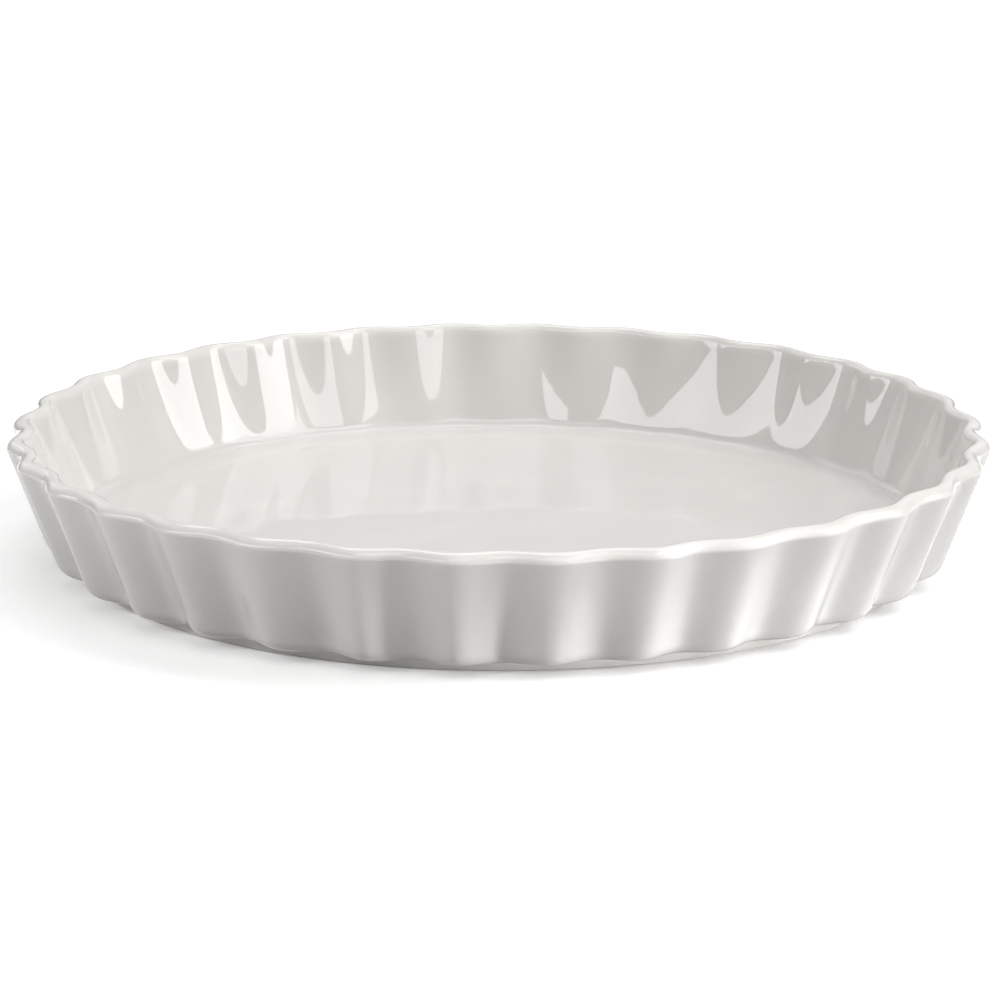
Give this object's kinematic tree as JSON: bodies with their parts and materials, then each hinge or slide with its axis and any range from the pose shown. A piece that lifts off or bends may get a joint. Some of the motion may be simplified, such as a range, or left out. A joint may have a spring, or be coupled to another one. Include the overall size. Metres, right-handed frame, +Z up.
{
  "type": "fluted baking dish",
  "caption": "Round shallow baking dish in white glazed stoneware with a fluted leaning wall, rounded rim and flat floor, for tarts, flans and gratins.",
  "frame": {"origin": "on the table under the middle of the dish, in the plane of the foot ring's bearing face", "axes": "+Z up along the dish's axis, with a flute valley facing -Y"},
  "size_m": [0.3182, 0.3182, 0.043],
  "materials": {
    "bare_clay": "matt fired clay, fine grained",
    "white_glaze": "glossy off-white glaze",
    "underside_glaze": "glossy off-white glaze"
  },
  "bodies": {
    "root": {"stoneware_body": "bare_clay", "glaze_coat": "white_glaze", "underside_glaze": "underside_glaze"}
  },
  "joints": []
}
